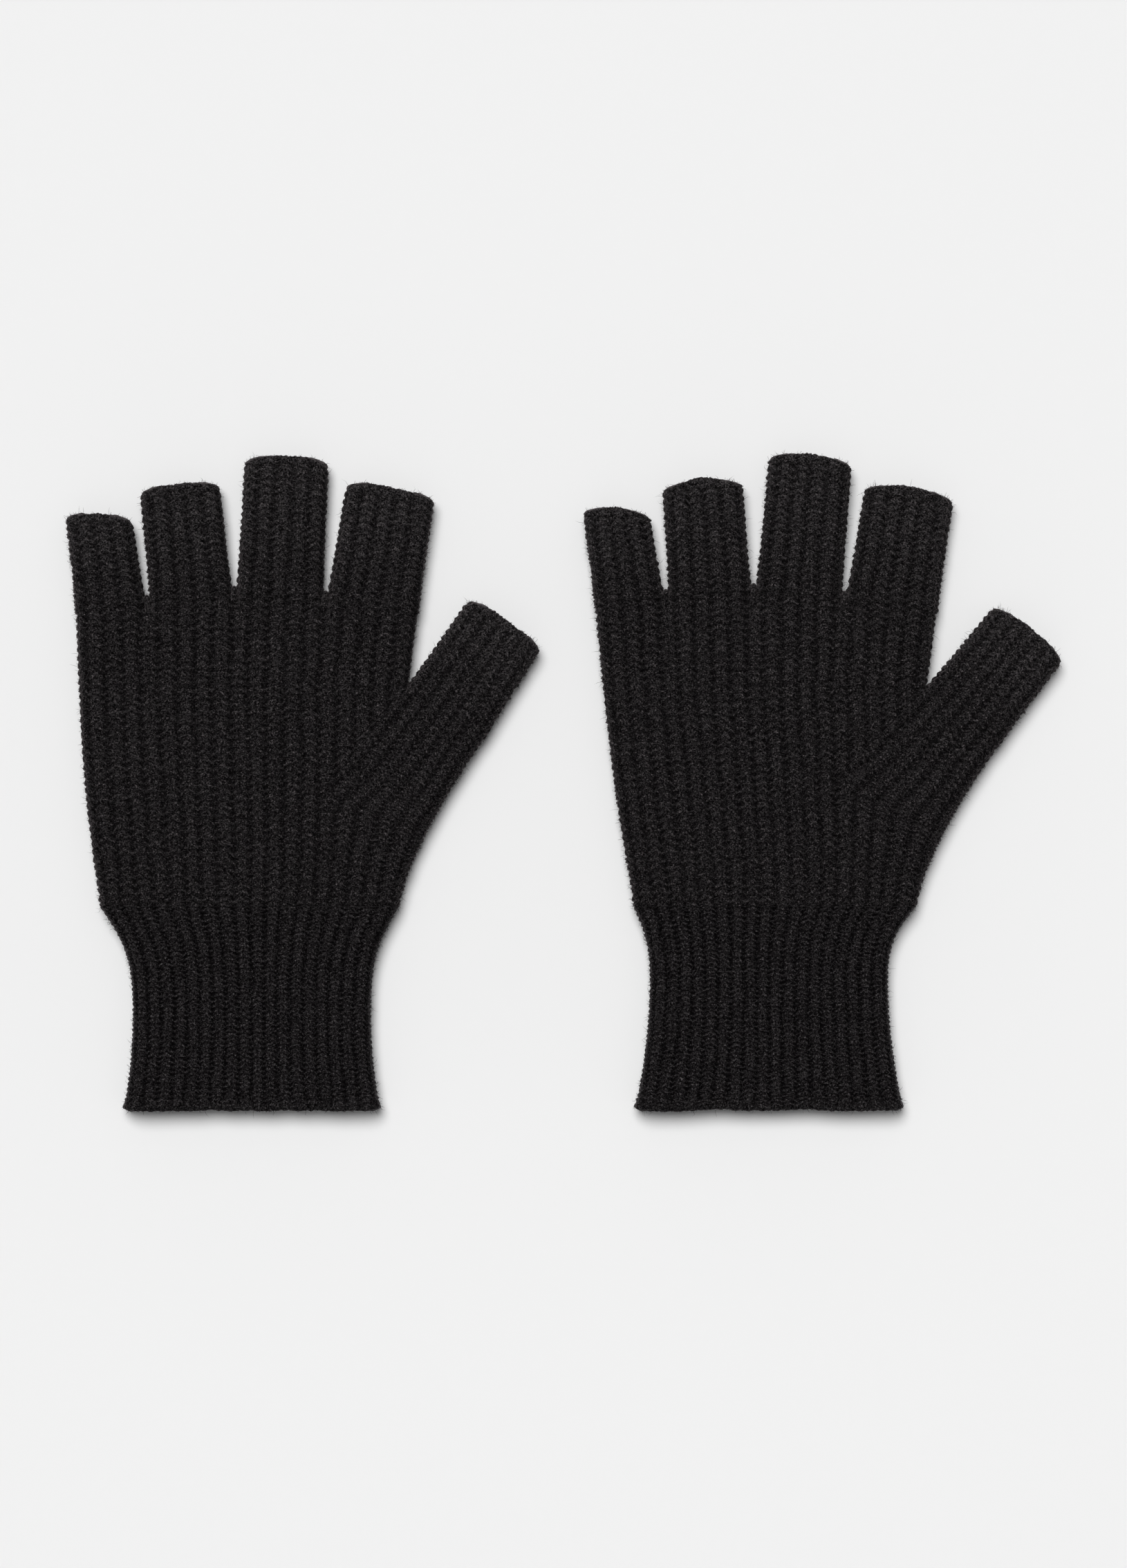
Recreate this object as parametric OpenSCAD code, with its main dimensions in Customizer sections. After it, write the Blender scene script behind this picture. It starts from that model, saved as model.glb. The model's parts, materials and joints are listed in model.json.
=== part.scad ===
// A pair of ribbed-knit fingerless gloves, laid flat side by side with both thumbs to the right.
// Every glove is a flattened knitted tube: cuff, hand, thumb gusset and five half-length stalls,
// all hollow and open right through. +X runs across the pair, +Y to the fingertips, +Z up from
// the surface the gloves lie on. The origin is the bottom centre of the pair's outline.

/* [Fabric] */
// Height of a glove lying flat, both layers and the air between them
lay_height = 10; // [8:0.5:14]
// Thickness of one knitted layer
wall = 2.5; // [1.5:0.1:2.5]
// Free gap between pieces that move against each other
move_gap = 0.3; // [0.2:0.05:0.6]

/* [Pair] */
// Distance between the centre lines of the two gloves
pair_spacing = 157.6; // [155:0.2:200]

/* [Cuff] */
// Length of the fine-rib cuff from its cast-on edge to the hand
cuff_len = 62; // [45:1:80]
// Length of the cast-on edge band at the mouth of the cuff
cuff_edge_len = 4; // [2:0.5:8]
// Width at the mouth of the cuff, left and right glove
cuff_hem_w = [78, 81.6]; // [70:0.2:92]
// Width at the narrowest part of the cuff
cuff_waist_w = 72.2; // [60:0.2:84]
// Height of the narrowest part above the mouth, left and right glove
cuff_waist_y = [28, 40]; // [20:1:44]

/* [Hand] */
// Height of the little-finger knuckle above the cuff, left and right glove
palm_len = [89.6, 91]; // [75:0.2:105]
// Distance from the centre line to the little-finger edge at the cuff, left and right glove
hand_base_left = [45.6, 40.6]; // [38:0.2:50]
// Distance from the centre line to the thumb edge at the cuff
hand_base_right = 44.2; // [40:0.2:50]
// Distance from the centre line to the little-finger edge at the knuckles, left and right glove
knuckle_left = [53.4, 52.8]; // [50:0.2:58]
// How far the little-finger edge swells outward below the knuckles, left and right glove
side_swell = [52, 47.4]; // [44:0.2:56]

/* [Fingers] */
// Knuckle widths from one crotch to the next: little, ring, middle, index
finger_span = [21.8, 26.6, 27.6, 28.4]; // [20:0.1:32]
// Stall lengths from knuckle to opening: little, ring, middle, index
finger_len = [28.6, 34.6, 42.2, 36.2]; // [20:0.2:60]
// Lean of the left glove's stalls from straight, positive to the thumb side
left_lean = [-7.5, -6, 3, 9]; // [-15:0.5:15]
// Lean of the right glove's stalls from straight, positive to the thumb side
right_lean = [-8.5, -4, 5, 9]; // [-15:0.5:15]
// Width of the gap between neighbouring stalls at the knuckles
crotch_gap = 2; // [1.6:0.1:3]
// How much narrower a stall is at its opening than at its knuckle
stall_taper = 0.4; // [0:0.1:3]
// Slope of the little stall's opening against its own axis
little_slant = 12; // [0:1:15]
// Length of the cast-off edge band at a stall's opening
edge_len = 3; // [2:0.5:5]
// How far the cast-off and cast-on edge bands stand out at each side
edge_lip = 0.3; // [0:0.1:1]
// Length of the joining stitches in front of the knuckle line
web_front = 2.5; // [1:0.5:4]
// Length of the joining stitches inside the hand
web_back = 3; // [2:0.5:6]

/* [Thumb] */
// Lean of the thumb stall from straight, left and right glove
thumb_lean = [33.6, 38.4]; // [25:0.5:45]
// Width of the thumb stall where it leaves the gusset
thumb_root_w = 28; // [24:0.5:34]
// Width of the thumb stall's opening
thumb_tip_w = 26.6; // [20:0.2:30]
// Length of the thumb stall
thumb_len = 33.8; // [20:0.2:50]
// Depth of the thumb crotch below the index-side knuckle
thumb_drop = 23; // [16:0.5:32]
// How far the thumb crotch lies inside the index-side knuckle
thumb_inset = 3; // [0:0.5:6]
// Reach of the gusset's seam back and down from the thumb crotch, left and right glove
gusset_seam = [[27.5, 34], [28.9, 28.5]]; // [15:0.5:40]
// Width of the gusset at the cuff
gusset_foot = 14; // [12:0.5:20]
// Bend of the thumb edge above the cuff, outward and upward
heel_bend = [6.2, 22]; // [2:0.1:30]

/* [Hidden] */

LEFT = 0;
RIGHT = 1;
LITTLE = 0;
RING = 1;
MIDDLE = 2;
INDEX = 3;
THUMB = 4;
ROUND_STEPS = 8;   // facets round a side fold
CURVE_STEPS = 8;   // bands along the palm and the gusset
BAND_STEPS = 3;    // bands along the knuckle band
CUFF_STEPS = 12;   // bands along the cuff
SWELL_AT = 0.32;   // where the little-finger edge bends, as a share of the palm's length
KNIT = [0.118, 0.110, 0.110];
KNIT_FINE = [0.105, 0.098, 0.098];
KNIT_EDGE = [0.13, 0.12, 0.12];

// ---- small plane geometry ----
function along(lean) = [sin(lean), cos(lean)];
function across(lean) = [cos(lean), -sin(lean)];
function unit(v) = v / norm(v);
function turned(v, a) = [v.x * cos(a) - v.y * sin(a), v.x * sin(a) + v.y * cos(a)];
function curve_point(a, b, c, t) = (1 - t) * (1 - t) * a + 2 * t * (1 - t) * b + t * t * c;

// ---- finger knuckles, as a chain of points from the little-finger edge to the index edge ----
function lean_of(g, f) = f == THUMB ? thumb_lean[g] : g == LEFT ? left_lean[f] : right_lean[f];
function knuckle(g, i) = i == 0
    ? [-knuckle_left[g], cuff_len + palm_len[g]]
    : knuckle(g, i - 1) + finger_span[i - 1] * across(lean_of(g, i - 1));
function thumb_crotch(g) = knuckle(g, 4) - [thumb_inset, thumb_drop];

// ---- a cross-section is a segment [left end, right end] seen from above ----
function root_left(g, f) = f == THUMB
    ? thumb_crotch(g)
    : knuckle(g, f) + (f == LITTLE ? 0 : crotch_gap / 2) * across(lean_of(g, f));
function root_right(g, f) = f == THUMB
    ? thumb_crotch(g) + thumb_root_w * across(thumb_lean[g])
    : knuckle(g, f + 1) - (f == INDEX ? 0 : crotch_gap / 2) * across(lean_of(g, f));
function stall_len(f) = f == THUMB ? thumb_len : finger_len[f];
function root_w(g, f) = norm(root_right(g, f) - root_left(g, f));
function tip_w(g, f) = f == THUMB ? thumb_tip_w : root_w(g, f) - stall_taper;
function slant(f) = f == LITTLE ? little_slant : 0;
// run is the distance from the knuckle line, lip widens both sides, tilt slopes the section
function section(g, f, run, lip, tilt) =
    let (lean = lean_of(g, f),
         centre = (root_left(g, f) + root_right(g, f)) / 2 + run * along(lean),
         width = root_w(g, f) + (tip_w(g, f) - root_w(g, f)) * run / stall_len(f),
         half = (width / 2 + lip) * turned(across(lean), -tilt))
    [centre - half, centre + half];
function tip_section(g, f) = section(g, f, stall_len(f), edge_lip, slant(f));

// ---- where the pair's outline ends, so that the origin sits at its bottom centre ----
function side_x(g, end) = [for (f = [LITTLE:THUMB]) tip_section(g, f)[end].x];
function top_y(g) = max([for (f = [LITTLE:THUMB], end = [0:1]) tip_section(g, f)[end].y]);
pair_left = min(concat(side_x(LEFT, 0), [-cuff_hem_w[LEFT] / 2 - edge_lip]));
pair_right = max(concat(side_x(RIGHT, 1), [cuff_hem_w[RIGHT] / 2 + edge_lip])) + pair_spacing;
pair_top = max(top_y(LEFT), top_y(RIGHT));
left_at = [-(pair_left + pair_right) / 2, -pair_top / 2, 0];
right_at = left_at + [pair_spacing, 0, 0];

module place(g) {
    translate(g == LEFT ? left_at : right_at) children();
}

// ---- a knitted tube through a list of cross-sections ----
// A section is a chain of points from its left end to its right end, seen from above, and the
// tube stands lay_height high on it. A closed end is a round side fold; an open end is cut
// straight, where the tube joins the piece beside it.
CLOSED = "closed";
OPEN_LEFT = "open left";
OPEN_RIGHT = "open right";

function raised(p, z) = [p.x, p.y, z];
function side_fold(end, next, inset, from) =
    let (dir = unit(next - end),
         centre = end + lay_height / 2 * dir,
         r = lay_height / 2 - inset)
    [for (i = [0:ROUND_STEPS])
        let (a = from + 180 * i / ROUND_STEPS)
        raised(centre + r * cos(a) * (from < 0 ? -1 : 1) * dir, lay_height / 2 + r * sin(a))];
function profile(chain, inset, sides) =
    let (last = len(chain) - 1,
         low = inset,
         high = lay_height - inset,
         right = side_fold(chain[last], chain[last - 1], inset, -90),
         left = side_fold(chain[0], chain[1], inset, 90),
         top = [for (i = [last - 1:-1:1]) raised(chain[i], high)],
         bottom = [for (i = [1:last - 1]) raised(chain[i], low)])
    sides == OPEN_LEFT
        ? concat([raised(chain[0], low)], bottom, right, top, [raised(chain[0], high)])
        : sides == OPEN_RIGHT
            ? concat([raised(chain[last], high)], top, left, bottom, [raised(chain[last], low)])
            : concat(right, top, left, bottom);

module tube(sections, layer, sides = CLOSED) {
    outer = [for (s = sections) each profile(s, 0, sides)];
    inner = [for (s = sections) each profile(s, layer, sides)];
    in0 = len(outer);
    last = len(sections) - 1;
    n = len(outer) / len(sections);
    steps = sides == CLOSED ? n - 1 : n - 2;
    outside = [for (k = [0:last - 1], i = [0:steps])
        [k * n + i, (k + 1) * n + i, (k + 1) * n + (i + 1) % n, k * n + (i + 1) % n]];
    inside = [for (q = outside) [in0 + q[0], in0 + q[3], in0 + q[2], in0 + q[1]]];
    near_end = [for (i = [0:steps]) [i, (i + 1) % n, in0 + (i + 1) % n, in0 + i]];
    far_end = [for (q = near_end) last * n * [1, 1, 1, 1] + [q[0], q[3], q[2], q[1]]];
    cut_sides = sides == CLOSED ? [] : [for (k = [0:last - 1]) each [
        [(k + 1) * n, k * n, in0 + k * n, in0 + (k + 1) * n],
        [(k + 1) * n - 1, (k + 2) * n - 1, in0 + (k + 2) * n - 1, in0 + (k + 1) * n - 1]]];
    polyhedron(concat(outer, inner), concat(outside, inside, near_end, far_end, cut_sides),
               convexity = 8);
}

// ---- cuff ----
function cuff_half(g, y, base) =
    let (waist = cuff_waist_w / 2,
         low = max(0, 1 - y / cuff_waist_y[g]),
         high = max(0, (y - cuff_waist_y[g]) / (cuff_len - cuff_waist_y[g])))
    waist + (cuff_hem_w[g] / 2 - waist) * low * low + (base - waist) * high * high * high;
function cuff_section(g, y, lip) =
    [[-cuff_half(g, y, hand_base_left[g]) - lip, y], [cuff_half(g, y, hand_base_right) + lip, y]];

module cuff(g) {
    run = cuff_len - move_gap - cuff_edge_len;
    color(KNIT_FINE)
        tube([for (i = [0:CUFF_STEPS]) cuff_section(g, cuff_edge_len + run * i / CUFF_STEPS, 0)],
             wall);
}

module cuff_edge(g) {
    color(KNIT_EDGE)
        tube([cuff_section(g, 0, edge_lip), cuff_section(g, cuff_edge_len, 0)], wall);
}

// ---- palm, thumb gusset and knuckle band ----
// The palm runs from the cuff to the thumb crotch, the gusset fills it out to the thumb's root
// line, and the knuckle band runs on from the thumb crotch to the finger crotches.
function base_left(g) = [-hand_base_left[g], cuff_len];
function base_right(g) = [hand_base_right, cuff_len];
function crotch_share(g) = (thumb_crotch(g).y - cuff_len) / palm_len[g];
function little_side(g, t) = curve_point(base_left(g),
    [-side_swell[g], cuff_len + SWELL_AT * palm_len[g]], knuckle(g, 0), t);
function thumb_side(g, t) = curve_point(base_right(g), base_right(g) + heel_bend,
    root_right(g, THUMB), t);
function seam(g, t) =
    let (apex = thumb_crotch(g) - gusset_seam[g],
         foot = base_right(g) - [gusset_foot, 0])
    t < 0.5 ? foot + 2 * t * (apex - foot) : apex + (2 * t - 1) * (thumb_crotch(g) - apex);

module palm(g) {
    color(KNIT)
        tube([for (i = [0:CURVE_STEPS])
                let (t = i / CURVE_STEPS) [little_side(g, t * crotch_share(g)), seam(g, t)]],
             wall, OPEN_RIGHT);
}

module thumb_gusset(g) {
    color(KNIT)
        tube([for (i = [0:CURVE_STEPS])
                let (t = i / CURVE_STEPS) [seam(g, t), thumb_side(g, t)]],
             wall, OPEN_LEFT);
}

// sections blend from the straight line at the thumb crotch to the chain of knuckles
module knuckles(g) {
    start = little_side(g, crotch_share(g));
    run = thumb_crotch(g) - start;
    width = knuckle(g, 4).x - knuckle(g, 0).x;
    color(KNIT)
        tube([for (k = [0:BAND_STEPS])
                let (t = k / BAND_STEPS,
                     side = little_side(g, crotch_share(g) + t * (1 - crotch_share(g))))
                [side, for (i = [1:4])
                    let (foot = start + run * (knuckle(g, i).x - knuckle(g, 0).x) / width)
                    foot + t * (knuckle(g, i) - foot)]],
             wall);
}

// ---- finger and thumb stalls with their cast-off edges ----
module stall(g, f) {
    color(KNIT)
        tube([section(g, f, move_gap, 0, 0),
              section(g, f, stall_len(f) - edge_len, 0, slant(f))], wall);
}

module stall_edge(g, f) {
    color(KNIT_EDGE)
        tube([section(g, f, stall_len(f) - edge_len, 0, slant(f)), tip_section(g, f)], wall);
}

// ---- joining stitches between two stalls: they close the hand between the fingers ----
module web(g, f) {
    lean = (lean_of(g, f) + lean_of(g, f + 1)) / 2;
    width = crotch_gap - 2 * move_gap;
    color(KNIT_EDGE)
        translate([knuckle(g, f + 1).x, knuckle(g, f + 1).y, wall])
            rotate(-lean)
                translate([-width / 2, -web_back, 0])
                    cube([width, web_back + web_front, lay_height - 2 * wall]);
}

place(LEFT) cuff(LEFT);  // left_cuff
place(LEFT) cuff_edge(LEFT);  // left_cuff_edge
place(LEFT) palm(LEFT);  // left_palm
place(LEFT) thumb_gusset(LEFT);  // left_thumb_gusset
place(LEFT) knuckles(LEFT);  // left_knuckles
place(LEFT) stall(LEFT, LITTLE);  // left_little_stall
place(LEFT) stall(LEFT, RING);  // left_ring_stall
place(LEFT) stall(LEFT, MIDDLE);  // left_middle_stall
place(LEFT) stall(LEFT, INDEX);  // left_index_stall
place(LEFT) stall(LEFT, THUMB);  // left_thumb_stall
place(LEFT) stall_edge(LEFT, LITTLE);  // left_little_edge
place(LEFT) stall_edge(LEFT, RING);  // left_ring_edge
place(LEFT) stall_edge(LEFT, MIDDLE);  // left_middle_edge
place(LEFT) stall_edge(LEFT, INDEX);  // left_index_edge
place(LEFT) stall_edge(LEFT, THUMB);  // left_thumb_edge
place(LEFT) web(LEFT, LITTLE);  // left_little_ring_web
place(LEFT) web(LEFT, RING);  // left_ring_middle_web
place(LEFT) web(LEFT, MIDDLE);  // left_middle_index_web
place(RIGHT) cuff(RIGHT);  // right_cuff
place(RIGHT) cuff_edge(RIGHT);  // right_cuff_edge
place(RIGHT) palm(RIGHT);  // right_palm
place(RIGHT) thumb_gusset(RIGHT);  // right_thumb_gusset
place(RIGHT) knuckles(RIGHT);  // right_knuckles
place(RIGHT) stall(RIGHT, LITTLE);  // right_little_stall
place(RIGHT) stall(RIGHT, RING);  // right_ring_stall
place(RIGHT) stall(RIGHT, MIDDLE);  // right_middle_stall
place(RIGHT) stall(RIGHT, INDEX);  // right_index_stall
place(RIGHT) stall(RIGHT, THUMB);  // right_thumb_stall
place(RIGHT) stall_edge(RIGHT, LITTLE);  // right_little_edge
place(RIGHT) stall_edge(RIGHT, RING);  // right_ring_edge
place(RIGHT) stall_edge(RIGHT, MIDDLE);  // right_middle_edge
place(RIGHT) stall_edge(RIGHT, INDEX);  // right_index_edge
place(RIGHT) stall_edge(RIGHT, THUMB);  // right_thumb_edge
place(RIGHT) web(RIGHT, LITTLE);  // right_little_ring_web
place(RIGHT) web(RIGHT, RING);  // right_ring_middle_web
place(RIGHT) web(RIGHT, MIDDLE);  // right_middle_index_web
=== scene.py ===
"""A pair of black ribbed-knit fingerless gloves lying flat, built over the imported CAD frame.

Every CAD node is a flattened tube. Its side folds are read from the frame's own meshes, and a
knitted shell is laid over each one. Ribs and stitches are real relief. One set of rib and row
coordinates per glove runs from the cuff through the hand into the fingers and the thumb, so
that ribs carry on across the pieces.
"""

import json
import math

import bpy
import numpy as np
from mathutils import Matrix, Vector


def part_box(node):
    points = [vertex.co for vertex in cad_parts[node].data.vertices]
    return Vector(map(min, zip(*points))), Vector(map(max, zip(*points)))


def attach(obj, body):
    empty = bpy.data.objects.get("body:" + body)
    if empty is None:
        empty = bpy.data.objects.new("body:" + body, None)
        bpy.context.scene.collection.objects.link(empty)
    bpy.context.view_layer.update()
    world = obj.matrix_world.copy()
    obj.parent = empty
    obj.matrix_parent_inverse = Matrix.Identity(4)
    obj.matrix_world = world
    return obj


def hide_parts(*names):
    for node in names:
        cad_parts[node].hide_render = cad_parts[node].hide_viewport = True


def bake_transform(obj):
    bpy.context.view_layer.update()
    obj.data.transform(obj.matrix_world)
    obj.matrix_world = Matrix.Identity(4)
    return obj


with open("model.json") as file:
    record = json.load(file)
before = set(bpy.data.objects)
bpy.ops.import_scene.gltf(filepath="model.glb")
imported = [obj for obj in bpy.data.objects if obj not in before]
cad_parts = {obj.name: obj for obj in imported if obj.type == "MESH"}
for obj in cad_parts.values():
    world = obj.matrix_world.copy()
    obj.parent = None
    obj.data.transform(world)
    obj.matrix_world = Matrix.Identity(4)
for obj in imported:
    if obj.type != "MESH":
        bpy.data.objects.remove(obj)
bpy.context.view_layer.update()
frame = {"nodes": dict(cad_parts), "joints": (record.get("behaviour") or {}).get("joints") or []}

MM = 0.001
SIDES = ("left", "right")
FINGERS = ("little", "ring", "middle", "index")
JOINTS = {j["name"]: j for j in frame["joints"]}
UP_PAGE = np.array([0.0, 1.0])
ACROSS_PAGE = np.array([1.0, 0.0])

# ---- knit gauge, in metres unless the name says otherwise ----
CUFF_RIBS = 20.0                                # ribs across one face of the cuff
HAND_RIB = {"left": 5.4 * MM, "right": 5.1 * MM}
THUMB_RIBS = 6.6                                # ribs across one face of the thumb
CUFF_ROW = 1.53 * MM
HAND_ROW = 2.37 * MM
FINGER_ROW = 2.25 * MM
CUFF_DEPTH = 0.85 * MM                          # height of a rib above the gap beside it
HAND_DEPTH = 1.0 * MM
LIP_DEPTH = 0.5 * MM
INNER_DEPTH = 0.25 * MM
WALL = 2.3 * MM
PROUD = 0.5 * MM                                # how far the stitches stand out of the CAD solid
RIB_HALF = 0.38                                 # half a rib's width, as a share of the pitch
CHEVRON = 0.62                                  # how far a stitch's legs rise, in rows
ROW_SHIFT = 0.9                                 # how far ribs stand out of step, in rows
ROW_DIP = 0.8                                   # depth between two stitches, as a share
LEG_FURROW = 0.3                                # dip between the two legs of a stitch
PURL = 0.7                                      # height of a purl bump between two ribs
SEAM_DEPTH = 0.25 * MM
LUMP = 0.45 * MM                                # unevenness of a finished edge
FUZZ = 0.24 * MM                                # roughness of the yarn
CELL = 0.42 * MM                                # grid size of the relief
CUFF_CELL = 0.37 * MM
INNER_STEP = 4                                  # outer grid steps to one of the inner layer
CORNER = 3.8 * MM                               # corner radius of a finger opening
CUFF_CORNER = 1.2 * MM
TIP_DOME = {"left": 0.3 * MM, "right": 0.9 * MM}  # how far an opening's middle stands out
WRIST_PAINTED_LIGHT = 0.0                                # how much lighter the wool is painted, as painted light that grows towards the fingertips, 0 to 1
HAND_PAINTED_LIGHT = 0.12
TIP_PAINTED_LIGHT = 1.0
CROTCH_REACH = 8 * MM                           # how far the layers close in behind a crotch
CROTCH_CLOSED = 0.25                            # share of the height left at a crotch
SAG = 0.9 * MM                                  # how far the top layer sinks in the middle
STALL_SAG = 0.6                                 # share of SAG that a stall's top layer sinks
KNIT_GAP = 0.3 * MM                             # free gap between the CAD's moving pieces
WOBBLE = 0.07                                   # how far ribs wander, in ribs
WOBBLE_SIZE = 9 * MM
ROW_WANDER = 0.3                                # how far rows wander, in rows
ROW_WANDER_SIZE = 13 * MM
LEVEL = 0.02 * MM                               # how exactly a frame vertex lies on a level
WRIST_SWELL = 0.7 * MM                          # bulge where the hand gathers into the cuff
SWELL_REACH = 9 * MM                            # half-length of that bulge
ROOT_FLARE = 0.4 * MM                           # how much wider a stall is at its root

# ---- fibre halo ----
FIBRE_RADIUS = 0.05 * MM
FIBRE_LENGTH = 1.3 * MM
FIBRES_PER_MM2 = 0.6


def smooth(x):
    """An eased step from 0 to 1."""
    x = np.clip(x, 0.0, 1.0)
    return x * x * (3 - 2 * x)


def mix(a, b, t):
    """From a to b as t goes from 0 to 1."""
    return a + (b - a) * t


def unit(v):
    return v / np.linalg.norm(v)


# ---- side folds and seams, read from the frame ----
def folds(name, along=UP_PAGE, across=ACROSS_PAGE):
    """A closed tube's left and right folds seen from above, from its near end to its far end."""
    outer = {-1: [], 1: []}
    low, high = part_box(name)
    middle = (low[2] + high[2]) / 2
    found = {}
    for p in frame["nodes"][name].data.polygons:
        for v in p.vertices:
            co = frame["nodes"][name].data.vertices[v].co
            if abs(co[2] - middle) < LEVEL:
                spot = tuple(np.round(co[:2], 5))
                found[spot] = found.get(spot, 0) + p.area * float(np.dot(p.normal[:2], across))
    for spot, lean in found.items():
        outer[1 if lean > 0 else -1].append(spot)
    lines = []
    for way in (-1, 1):
        spots = sorted(outer[way], key=lambda s: np.dot(s, along))
        furthest = [s for s in spots if not any(
            (np.dot(o, across) - np.dot(s, across)) * way > 8 * MM
            and abs(np.dot(o, along) - np.dot(s, along)) < 9 * MM for o in spots)]
        lines.append(np.array(furthest))
    return lines


def seam_line(name):
    """The straight side where the palm joins the gusset, seen from above."""
    _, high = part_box(name)
    co = [v.co for v in frame["nodes"][name].data.vertices if abs(v.co[2] - high[2]) < LEVEL]
    spots = sorted({tuple(np.round(c[:2], 5)) for c in co}, key=lambda s: s[1])
    middle = (min(s[0] for s in spots) + max(s[0] for s in spots)) / 2
    return np.array([s for s in spots if s[0] > middle])


def longer(line, near=0.0, far=0.0):
    """The line with its ends moved outward along it."""
    line = np.array(line, float)
    start = line[0] - near * unit(line[1] - line[0])
    end = line[-1] + far * unit(line[-1] - line[-2])
    return np.vstack([start, line[1:-1], end])


def rail(points, soft=True):
    """A function from 0..1 to the line through the points, with its bends rounded.

    Past 1 the line runs straight on.
    """
    points = np.asarray(points, float)
    knots = np.linspace(0, 1, len(points))
    reach = 0.6 / (len(points) - 1) if soft and len(points) > 2 else 0.0

    last_step = (points[-1] - points[-2]) * (len(points) - 1)

    def at(t):
        inside = np.stack([np.interp(t, knots, points[:, i]) for i in (0, 1)], axis=-1)
        return inside + np.maximum(np.asarray(t) - 1, 0)[..., None] * last_step

    def rounded(t):
        t = np.asarray(t, float)
        near = np.minimum(reach, np.minimum(t, 1 - t))
        return (at(t - near) + 2 * at(t) + at(t + near)) / 4

    return rounded


def swollen(line, outward, swell):
    """The line moved outward by swell(t)."""
    return lambda t: line(t) + np.asarray(outward) * np.asarray(swell(t))[..., None]


def wrist_swell(above):
    """The soft bulge where the wide hand gathers into the cuff, at a height above the wrist."""
    return WRIST_SWELL * np.exp(-((above + 0.4 * SWELL_REACH) / SWELL_REACH) ** 2)


# ---- smooth seeded noise, for waviness and uneven stitches ----
WAVES = np.random.default_rng(11).uniform(-1, 1, (24, 4))


def wave(x, y, size, pick=0):
    """Smooth noise between about -1 and 1, with bumps about size across."""
    total = 0.0
    for a, b, c, d in WAVES[pick:pick + 6]:
        total = total + np.sin((x * (1 + a) + y * b * 1.7) * 2.2 / size + 9 * c + d)
        total = total + np.sin((y * (1 + d) - x * a * 1.7) * 2.4 / size + 7 * b + c)
    return total / 7


def chance(a, b, salt=0.0):
    """A number from 0 to 1 that is fixed for each pair of whole numbers."""
    x = np.sin(a * 127.1 + b * 311.7 + salt * 74.7) * 43758.5453
    return x - np.floor(x)


# ---- the knitted surface ----
def stitch_relief(ribs, rows):
    """How high the knit stands, 0 in the gaps and 1 on a stitch, and a yarn coordinate."""
    wale = np.floor(ribs)
    off = ribs - wale - 0.5
    rows = rows + CHEVRON * 2 * np.abs(off) + ROW_SHIFT * (chance(wale, 1.0) - 0.5)
    course = np.floor(rows)
    part = rows - course - 0.5
    luck = chance(wale, course)
    off = off + 0.05 * (chance(wale, course, 3.0) - 0.5)
    side = np.clip(1 - np.abs(off / RIB_HALF) ** 2.2, 0, 1) ** 0.8
    bead = np.clip(1 - np.abs(2 * part) ** 2.0, 0, 1) ** 0.9
    legs = 1 - LEG_FURROW * np.exp(-(off / 0.07) ** 2)
    rib = side * (1 - ROW_DIP + ROW_DIP * bead) * (1 - 0.22 * luck) * legs
    purl = PURL * np.clip(np.cos((rows + 0.5) * 2 * math.pi), 0, 1) * (1 - side) * (0.5 + luck)
    yarn = np.stack([np.abs(off) * 2, part + 0.5 + course, luck], axis=-1)
    return rib + purl, yarn


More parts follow.
